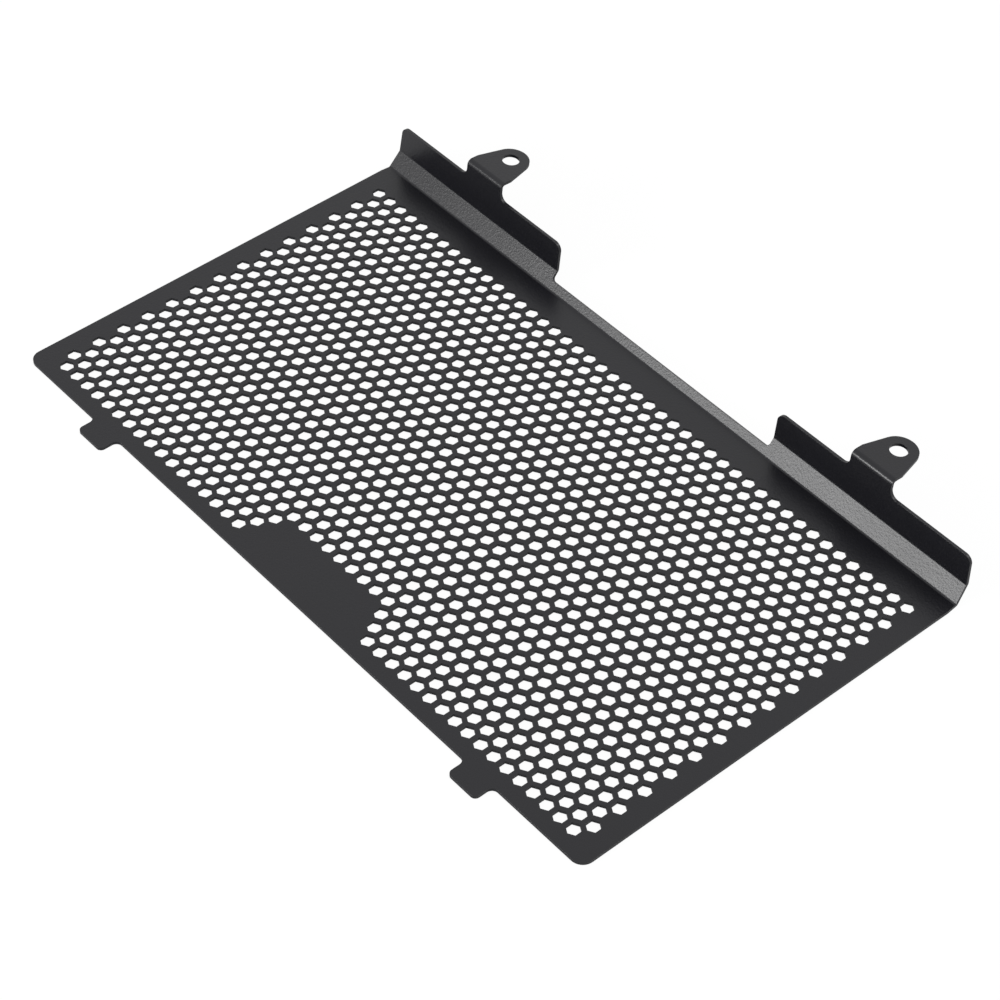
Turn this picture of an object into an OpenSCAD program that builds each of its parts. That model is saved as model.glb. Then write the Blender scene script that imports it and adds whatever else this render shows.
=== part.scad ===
// Radiator guard of a motorbike: one perforated sheet with two coplanar front tabs,
// folded up at the back into a strip, two standing flanges and two bolt ears.
// Millimetres, +X along the long edge, +Y towards the folds, +Z up.

/* [Sheet] */

// thickness of the sheet
sheet_thickness = 1.5; // [1:0.1:2.5]
// length of the panel along its front edge
panel_width = 376; // [300:1:460]
// panel depth from the front edge to the first fold line
panel_depth = 214.2; // [160:0.1:280]
// radius of the two front corners
front_corner_radius = 6; // [2:0.5:15]
// how far each side edge flares out towards the first fold line
side_flare = 0.7; // [0:0.1:3]
// where the side edges start to draw in, before the first fold line
draw_in_start = 5; // [2:0.5:12]
// how far each side edge draws in on every millimetre from there to the top of the flanges
draw_in_slope = 0.08; // [0.01:0.005:0.15]

/* [Hexagonal holes] */

// hexagonal hole, across the flats
hex_across_flats = 5.8; // [4:0.05:5.95]
// distance between hole centres in a row
hex_pitch = 8; // [8:0.1:12]
// first row of hole centres to the front edge
hex_front_margin = 10.4; // [8:0.1:20]
// least distance from the last row of centres to the first fold line
hex_back_margin = 16; // [12:0.5:30]
// least distance from the outermost hole centre to the side edge
hex_side_margin = 12; // [9:0.5:24]
// holes left out of the first row for the plain patch at the middle
plain_patch_holes = 10; // [0:2:16]
// rows that the plain patch spans, one hole narrower in each
plain_patch_rows = 3; // [1:1:5]

/* [Front tabs] */

// distance between the centres of the two front tabs
tab_spacing = 254; // [180:1:300]
// width of a front tab
tab_width = 17; // [12:0.5:26]
// how far a tab stands out of the front edge
tab_length = 9.6; // [6:0.1:16]
// radius of the outer corners of a tab
tab_corner_radius = 2.5; // [0.5:0.1:5]
// fillet at the foot of a tab
tab_foot_fillet = 3; // [1:0.1:4.5]

/* [Folds] */

// inside radius of every fold
fold_radius = 1.2; // [0.6:0.1:2]
// slope of the strip from the plane of the panel, a rise of 4 on a run of 3
strip_angle = 53.1301; // [45:0.0001:60]
// length of the strip between its two fold lines
strip_length = 9.7; // [7:0.1:14]
// length of the low strip between the flanges
low_strip_length = 4.7; // [3.5:0.1:6]
// fillet where the low strip meets the full strip
low_strip_fillet = 2; // [0.5:0.1:3]

/* [Flanges] */

// slope of the flanges from the plane of the panel
flange_angle = 85.65051; // [78:0.00001:89]
// length of a flange above the second fold line
flange_length = 14.7; // [11:0.1:19]
// gap between the two flanges
flange_gap = 144.4; // [100:0.2:180]
// radius of the top corners of a flange
flange_corner_radius = 4; // [1:0.5:7]

/* [Ears] */

// distance between the centres of the two ears
ear_spacing = 254; // [200:1:300]
// width of an ear at its fold
ear_width = 24; // [20:0.5:32]
// ear fold line above the top face of the panel
ear_height = 31.5; // [29:0.5:40]
// angle of the fold between a flange and its ear
ear_angle = 90; // [80:0.5:95]
// distance from the ear fold line to the centre of its hole
ear_reach = 16.9; // [14:0.1:24]
// straight part of the ear sides behind the fold line
ear_straight = 6.5; // [5:0.1:7.5]
// radius of the rounded ear end
ear_end_radius = 9; // [7:0.5:10]
// diameter of the bolt hole in an ear
ear_hole_diameter = 8.5; // [5:0.1:10.5]
// fillet between the ear neck and the top of the flange
ear_neck_fillet = 4; // [1:0.5:6]

/* [Hidden] */

$fn = 64;
eps = 0.01;
t = sheet_thickness;
far = 3 * (fold_radius + t);

// half widths of the sheet at its front edge, where it is widest, at its folds and at its top
half_width = panel_width / 2;
half_back = half_width + side_flare;
half_lower = half_back - draw_in_slope * draw_in_start;
half_upper = half_lower - draw_in_slope * strip_length;
half_top = half_upper - draw_in_slope * flange_length;

// setback of the tangent lines from the fold lines
setback_1 = fold_radius * tan(strip_angle / 2);
setback_2 = fold_radius * tan((flange_angle - strip_angle) / 2);
setback_3 = (fold_radius + t) * tan(ear_angle / 2);

// flat lengths between the folds
strip_flat = strip_length - setback_1 - setback_2;
neck_length = (ear_height - strip_length * sin(strip_angle)) / sin(flange_angle);
neck_flat = neck_length - setback_2 - setback_3;
flange_flat = flange_length - setback_2;
flange_lean = atan((half_upper - half_top) / flange_flat);

// the part is centred over its footprint, from the tab ends to the ear tips
folds_depth = strip_length * cos(strip_angle) + neck_length * cos(flange_angle);
ears_depth = (ear_reach + ear_end_radius) * cos(ear_angle - flange_angle);
back_y = (tab_length + panel_depth - folds_depth - ears_depth) / 2;
panel_end_y = back_y - setback_1;

// the panel is drawn from its last line, where y = 0 and the first fold starts
panel_front = setback_1 - panel_depth;
taper_start = setback_1 - draw_in_start;

// hole lattice, and the bands of rows that share one level
row_step = hex_pitch * sqrt(3) / 2;
first_row_y = panel_front + hex_front_margin;
row_count = floor((panel_depth - hex_front_margin - hex_back_margin) / row_step + eps) + 1;
long_side_count = floor((half_width - hex_side_margin) / hex_pitch + eps);
hex_radius = hex_across_flats / 2 / cos(30);
band_rows = 4;
band_count = ceil(row_count / band_rows);
band_level = 0.01;
flare_start = first_row_y + (band_rows - 0.5) * row_step;

// rounds off an outside corner whose material lies in +x, +y
module corner_cut(r) {
    difference() {
        translate([-1, -1])
            square(r + 1);
        translate([r, r])
            circle(r);
    }
}

// rounds off an outside corner whose material lies in -x, -y below an edge that leans in
module leaning_corner_cut(r, lean) {
    run = r * tan(45 - lean / 2);
    side = [run * sin(lean), -run * cos(lean)];
    difference() {
        polygon([[-run, 1], [2, 1], side + [cos(lean), sin(lean)], side, [-run, -r]]);
        translate([-run, -r])
            circle(r);
    }
}

// fills an inside corner whose open side lies in +x, +y
module corner_fill(r) {
    difference() {
        translate([-0.5, -0.5])
            square(r + 0.5);
        translate([r, r])
            circle(r);
    }
}

// long rows have a hole on the middle line, short rows have one on each side of it
function row_holes(i) = 2 * long_side_count + i % 2;
function row_y(i) = first_row_y + i * row_step;
function hole_x(i, k) = (k - (row_holes(i) - 1) / 2) * hex_pitch;
function patch_half(i) = i < plain_patch_rows ? (plain_patch_holes - i) / 2 * hex_pitch : 0;
function hexagon(x, y) =
    [for (a = [30 : 60 : 330]) [x + hex_radius * cos(a), y + hex_radius * sin(a)]];

module hex_row(i) {
    for (k = [0 : row_holes(i) - 1])
        if (abs(hole_x(i, k)) > patch_half(i) - eps)
            polygon(hexagon(hole_x(i, k), row_y(i)));
}

module tab_outline() {
    difference() {
        translate([-tab_width / 2, -tab_length])
            square([tab_width, tab_length + 1]);
        for (s = [0, 1])
            mirror([s, 0])
                translate([-tab_width / 2, -tab_length])
                    corner_cut(tab_corner_radius);
    }
    for (s = [0, 1])
        mirror([s, 0])
            translate([tab_width / 2, 0])
                mirror([0, 1])
                    corner_fill(tab_foot_fillet);
}

// half width of the panel at a place before the folds
function half_at(y) =
    half_width + side_flare * max(0, y - flare_start) / (taper_start - flare_start);

// outline of one band of the panel, without its holes
module band_outline(b) {
    from = b == 0 ? panel_front : row_y(b * band_rows) - row_step / 2;
    to = row_y((b + 1) * band_rows) - row_step / 2;
    if (b < band_count - 1)
        polygon([[-half_at(from), from], [half_at(from), from], [half_at(to), to], [-half_at(to), to]]);
    else
        polygon([
            [-half_at(from), from], [half_at(from), from], [half_back, taper_start],
            [half_lower, 0], [-half_lower, 0], [-half_back, taper_start]
        ]);
}

// first band: the front edge with its tabs and rounded corners
module front_outline() {
    difference() {
        band_outline(0);
        for (s = [0, 1])
            mirror([s, 0])
                translate([-half_width, panel_front])
                    corner_cut(front_corner_radius);
    }
    for (s = [-1, 1])
        translate([s * tab_spacing / 2, panel_front])
            tab_outline();
}

// flat panel in bands of rows, each a hundredth of a millimetre off its neighbours
module panel() {
    for (b = [0 : band_count - 1])
        translate([0, panel_end_y, b % 2 == 1 && b < band_count - 1 ? band_level : 0])
            linear_extrude(height = t)
                difference() {
                    if (b == 0)
                        front_outline();
                    else
                        band_outline(b);
                    for (i = [b * band_rows : min((b + 1) * band_rows, row_count) - 1])
                        hex_row(i);
                }
}

// rounded part of a fold about the x axis, from straight down to the given angle
module fold(angle, x_from, x_to) {
    width = x_to - x_from;
    translate([x_from, 0, 0])
        difference() {
            rotate([0, 90, 0])
                cylinder(r = fold_radius + t, h = width);
            translate([-1, 0, 0])
                rotate([0, 90, 0])
                    cylinder(r = fold_radius, h = width + 2);
            translate([-1, -far, -far])
                cube([width + 2, far, 2 * far]);
            rotate([angle, 0, 0])
                translate([-1, 0, -far])
                    cube([width + 2, far, 2 * far]);
        }
}

// fold towards the top face at the end of a flat, whose top face is at z = 0
module fold_up(angle, x_from, x_to) {
    translate([0, 0, fold_radius])
        fold(angle, x_from, x_to);
}

// carries on behind a fold towards the top face
module after_fold_up(angle) {
    translate([0, 0, fold_radius])
        rotate([angle, 0, 0])
            translate([0, 0, -fold_radius])
                children();
}

// fold towards the bottom face at the end of a flat, whose top face is at z = 0
module fold_down(angle, x_from, x_to) {
    translate([0, 0, -fold_radius - t])
        mirror([0, 0, 1])
            fold(angle, x_from, x_to);
}

// carries on behind a fold towards the bottom face
module after_fold_down(angle) {
    translate([0, 0, -fold_radius - t])
        rotate([-angle, 0, 0])
            translate([0, 0, fold_radius + t])
                children();
}

// gives an outline the sheet's thickness, below its top face at z = 0
module flat() {
    translate([0, 0, -t])
        linear_extrude(height = t)
            children();
}

// strip behind the first fold, cut low between the flanges
module strip_outline() {
    low = low_strip_length - setback_1;
    half_gap = flange_gap / 2;
    difference() {
        polygon([
            [-half_lower, 0], [half_lower, 0],
            [half_upper, strip_flat], [-half_upper, strip_flat]
        ]);
        difference() {
            translate([-half_gap, low])
                square([flange_gap, strip_length]);
            for (s = [0, 1])
                mirror([s, 0])
                    translate([-half_gap, low])
                        corner_fill(low_strip_fillet);
        }
    }
}

// flange on the +x side with the neck of its ear
module flange_outline() {
    neck_x = ear_spacing / 2;
    difference() {
        polygon([
            [flange_gap / 2, 0], [half_upper, 0],
            [half_top, flange_flat], [flange_gap / 2, flange_flat]
        ]);
        translate([flange_gap / 2, flange_flat])
            mirror([0, 1])
                corner_cut(flange_corner_radius);
        translate([half_top, flange_flat])
            leaning_corner_cut(flange_corner_radius, flange_lean);
    }
    polygon([
        [neck_x - ear_width / 2, flange_flat - 1], [neck_x + ear_width / 2, flange_flat - 1],
        [neck_x + ear_width / 2, neck_flat], [neck_x - ear_width / 2, neck_flat]
    ]);
    for (m = [0, 1])
        translate([neck_x, flange_flat])
            mirror([m, 0])
                translate([ear_width / 2, 0])
                    corner_fill(ear_neck_fillet);
}

// ear behind its fold, drawn in to a rounded end around the bolt hole
module ear_outline() {
    hole_y = ear_reach - setback_3;
    corner = [ear_width / 2, ear_straight - setback_3];
    from_hole = corner - [0, hole_y];
    touch = atan2(from_hole[1], from_hole[0]) + acos(ear_end_radius / norm(from_hole));
    touch_x = ear_end_radius * cos(touch);
    touch_y = hole_y + ear_end_radius * sin(touch);
    difference() {
        union() {
            polygon([
                [-ear_width / 2, 0], [ear_width / 2, 0], corner,
                [touch_x, touch_y], [-touch_x, touch_y],
                [-corner[0], corner[1]]
            ]);
            translate([0, hole_y])
                circle(ear_end_radius);
        }
        translate([0, hole_y])
            circle(d = ear_hole_diameter);
    }
}

// flange, ear fold and ear on the +x side, from the end of the strip on
module flange_and_ear() {
    ear_x = ear_spacing / 2;
    fold_2 = flange_angle - strip_angle;
    fold_up(fold_2, flange_gap / 2, half_upper);
    after_fold_up(fold_2) {
        flat()
            flange_outline();
        translate([0, neck_flat, 0]) {
            fold_down(ear_angle, ear_x - ear_width / 2, ear_x + ear_width / 2);
            after_fold_down(ear_angle)
                translate([ear_x, 0, 0])
                    flat()
                        ear_outline();
        }
    }
}

module radiator_guard() {
    color([0.14, 0.14, 0.15]) {
        panel();
        translate([0, panel_end_y, t]) {
            fold_up(strip_angle, -half_lower, half_lower);
            after_fold_up(strip_angle) {
                flat()
                    strip_outline();
                translate([0, strip_flat, 0])
                    for (s = [0, 1])
                        mirror([s, 0, 0])
                            flange_and_ear();
            }
        }
    }
}

radiator_guard();
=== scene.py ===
import bpy
from mathutils import Matrix, Vector

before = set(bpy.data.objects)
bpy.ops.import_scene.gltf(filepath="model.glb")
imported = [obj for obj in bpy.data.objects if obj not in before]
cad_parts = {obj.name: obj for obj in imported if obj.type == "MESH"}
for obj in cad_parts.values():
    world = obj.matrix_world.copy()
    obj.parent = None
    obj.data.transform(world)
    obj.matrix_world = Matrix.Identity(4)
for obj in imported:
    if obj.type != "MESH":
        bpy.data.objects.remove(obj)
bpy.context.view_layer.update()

# The guard lies on the floor, flanges up. Lengths are metres, in the guard's own frame.

# Camera: a plain pinhole, found from the hole rows, the folds and the ears
CAMERA_PLACE = (0.65483, -0.59782, 0.89774)
CAMERA_RIGHT = (0.6572, 0.753309, 0.024772)
CAMERA_FORWARD = (-0.511327, 0.469755, -0.719636)
CAMERA_FOCUS = 2.85106          # focal length as a share of the picture's width
SENSOR_WIDTH = 36.0             # millimetres
NEAR_CLIP = 0.05
FAR_CLIP = 50

# Powder coat
COAT_COLOUR = (0.0040, 0.0040, 0.0064, 1)
COAT_TINT = (0.0052, 0.0051, 0.0080, 1)
COAT_SMOOTHEST = 0.25           # roughness where the spray lay thickest
COAT_SPREAD = 0.1               # how much rougher it gets elsewhere
COAT_SPECULAR = 0.42
COAT_EDGE = 0.0002              # the powder rounds every edge of the sheet by about this much
EDGE_SAMPLES = 6
PEEL_SIZE = 0.0018              # orange peel of the cured powder
PEEL_DEPTH = 0.000035
GRAIN_SIZE = 0.0009             # fine grain that sparkles in a grazing light
GRAIN_DEPTH = 0.00005
CLOUD_SIZE = 0.045              # slow drift in colour and gloss from the spray passes

# Floor and world
FLOOR_HALF = 6.0
FLOOR_DROP = 0.00005            # a hair below the guard, so that the two never share a plane
FLOOR_GREY = 0.8                # the floor's own matt colour, which lights and reflections meet
FLOOR_SHADOW = 0.12             # how much of the floor's own shading the camera sees
FLOOR_WHITE = 1.06              # makes up for that share, so that the open floor shows as white
FLOOR_MIRRORED = 0.15           # how much of that white the coat mirrors; more would pale the hole walls
WORLD_LIGHT = 0.45              # the world as a light; it is white where it is seen or reflected

# Softboxes: place, width, height and power in watts, all aimed at the middle of the guard
FRONT_SOFTBOX = ((-0.66, -1.8, 0.58), 1.05, 0.5, 24)    # low at the front left, lights the sloping strip
BACK_SOFTBOX = ((0.9, 1.1, 1.9), 1.5, 1.5, 18)          # behind the flanges, lights their edges


class Wire:
    """A socket that shader maths is written with."""

    def __init__(self, shader, socket):
        self.shader = shader
        self.socket = socket

    def maths(self, operation, left, right):
        node = self.shader.node("Math", {"operation": operation}, {0: left, 1: right})
        return node["Value"]

    def __add__(self, other):
        return self.maths("ADD", self, other)

    __radd__ = __add__

    def __mul__(self, other):
        return self.maths("MULTIPLY", self, other)

    __rmul__ = __mul__

    def larger(self, other):
        return self.maths("MAXIMUM", self, other)


class Node:
    """A node whose outputs are read by name."""

    def __init__(self, shader, made):
        self.shader = shader
        self.made = made

    def __getitem__(self, output):
        return Wire(self.shader, self.made.outputs[output])


class Shader:
    """The node tree of one material or of the world."""

    def __init__(self, owner):
        owner.use_nodes = True
        self.tree = owner.node_tree
        self.tree.nodes.clear()

    def node(self, kind, settings=None, inputs=None):
        made = self.tree.nodes.new("ShaderNode" + kind)
        for name, value in (settings or {}).items():
            setattr(made, name, value)
        for name, value in (inputs or {}).items():
            self.feed(made.inputs[name], value)
        return Node(self, made)

    def feed(self, socket, value):
        if isinstance(value, Wire):
            self.tree.links.new(value.socket, socket)
        else:
            socket.default_value = value

    def noise(self, place, size, detail):
        inputs = {"Vector": place, "Scale": 1 / size, "Detail": detail}
        return self.node("TexNoise", {}, inputs)["Fac"]

    def bump(self, height, depth, under):
        inputs = {"Strength": 1.0, "Distance": depth, "Height": height, "Normal": under}
        return self.node("Bump", {}, inputs)["Normal"]


def make_powder_coat():
    """Satin black powder coat: fine grain over a soft orange peel."""
    material = bpy.data.materials.new("powder_coat")
    coat = Shader(material)
    place = coat.node("TexCoord")["Object"]
    cloud = coat.noise(place, CLOUD_SIZE, 3.0)
    peel = coat.noise(place, PEEL_SIZE, 2.0)
    grain = coat.noise(place, GRAIN_SIZE, 2.0)
    colour = coat.node(
        "Mix", {"data_type": "RGBA"},
        {"Factor": cloud, "A": COAT_COLOUR, "B": COAT_TINT})["Result"]
    edge = coat.node("Bevel", {"samples": EDGE_SAMPLES}, {"Radius": COAT_EDGE})["Normal"]
    peeled = coat.bump(peel, PEEL_DEPTH, edge)
    grained = coat.bump(grain, GRAIN_DEPTH, peeled)
    surface = coat.node("BsdfPrincipled", {}, {
        "Base Color": colour,
        "Roughness": COAT_SMOOTHEST + COAT_SPREAD * cloud,
        "Specular IOR Level": COAT_SPECULAR,
        "Normal": grained,
    })["BSDF"]
    coat.node("OutputMaterial", {}, {"Surface": surface})
    return material


def make_floor():
    """A pale floor that shows as white, with a little of the guard's shadow."""
    half = FLOOR_HALF
    drop = -FLOOR_DROP
    corners = [(-half, -half, drop), (half, -half, drop), (half, half, drop), (-half, half, drop)]
    mesh = bpy.data.meshes.new("floor")
    mesh.from_pydata(corners, [], [(0, 1, 2, 3)])
    floor = bpy.data.objects.new("floor", mesh)
    bpy.context.scene.collection.objects.link(floor)
    material = bpy.data.materials.new("floor_white")
    paint = Shader(material)
    rays = paint.node("LightPath")
    mirrored = FLOOR_MIRRORED * rays["Is Glossy Ray"]
    seen = rays["Is Camera Ray"].larger(rays["Is Transmission Ray"]).larger(mirrored)
    grey = (FLOOR_GREY, FLOOR_GREY, FLOOR_GREY, 1)
    matt = paint.node("BsdfDiffuse", {}, {"Color": grey})["BSDF"]
    glow = {"Color": (1, 1, 1, 1), "Strength": FLOOR_WHITE}
    white = paint.node("Emission", {}, glow)["Emission"]
    mixed = {"Fac": seen * (1 - FLOOR_SHADOW), 1: matt, 2: white}
    shown = paint.node("MixShader", {}, mixed)["Shader"]
    paint.node("OutputMaterial", {}, {"Surface": shown})
    mesh.materials.append(material)


def make_world():
    """White all round for the camera and in reflections, softer as a light."""
    world = bpy.data.worlds.new("studio")
    bpy.context.scene.world = world
    sky = Shader(world)
    rays = sky.node("LightPath")
    seen = rays["Is Camera Ray"].larger(rays["Is Glossy Ray"]).larger(rays["Is Transmission Ray"])
    glow = {"Color": (1, 1, 1, 1), "Strength": WORLD_LIGHT + (1 - WORLD_LIGHT) * seen}
    light = sky.node("Background", {}, glow)["Background"]
    sky.node("OutputWorld", {}, {"Surface": light})


def make_softbox(name, place, width, height, power):
    """A soft rectangular light aimed at the middle of the guard."""
    data = bpy.data.lights.new(name, "AREA")
    data.shape = "RECTANGLE"
    data.size = width
    data.size_y = height
    data.energy = power
    lamp = bpy.data.objects.new(name, data)
    lamp.location = place
    lamp.rotation_mode = "QUATERNION"
    lamp.rotation_quaternion = (-Vector(place)).to_track_quat("-Z", "Y")
    bpy.context.scene.collection.objects.link(lamp)


def make_camera():
    data = bpy.data.cameras.new("camera")
    data.sensor_width = SENSOR_WIDTH
    data.lens = CAMERA_FOCUS * SENSOR_WIDTH
    data.clip_start = NEAR_CLIP
    data.clip_end = FAR_CLIP
    camera = bpy.data.objects.new("camera", data)
    back = -Vector(CAMERA_FORWARD).normalized()
    right = Vector(CAMERA_RIGHT)
    right = (right - back * right.dot(back)).normalized()
    up = back.cross(right)
    turn = Matrix((right, up, back)).transposed().to_4x4()
    camera.matrix_world = Matrix.Translation(CAMERA_PLACE) @ turn
    bpy.context.scene.collection.objects.link(camera)
    bpy.context.scene.camera = camera


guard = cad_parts["radiator_guard"]
guard.data.materials.clear()
guard.data.materials.append(make_powder_coat())

make_floor()
make_world()
make_softbox("front_softbox", *FRONT_SOFTBOX)
make_softbox("back_softbox", *BACK_SOFTBOX)
make_camera()

bpy.context.scene.view_settings.view_transform = "Standard"
